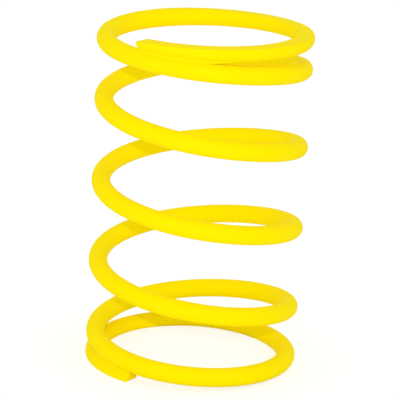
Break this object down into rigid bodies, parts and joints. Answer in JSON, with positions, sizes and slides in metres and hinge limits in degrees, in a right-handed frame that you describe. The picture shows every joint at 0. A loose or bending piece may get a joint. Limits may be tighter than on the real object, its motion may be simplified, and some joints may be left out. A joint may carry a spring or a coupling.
{
  "type": "torque spring",
  "caption": "Left-hand-wound compression coil spring of round wire, with closed ends ground flat, that presses the driven pulley of a small belt drive along its axis.",
  "frame": {"origin": "on the coil's axis, in the plane of the lower ground end", "axes": "+Z along the coil's axis towards the upper ground end; -Y towards the picture's viewer, with both wire tips at the front left"},
  "size_m": [0.057, 0.057, 0.091],
  "materials": {
    "yellow_powder_coat": "satin"
  },
  "bodies": {
    "root": {"coil_spring": "yellow_powder_coat"}
  },
  "joints": []
}
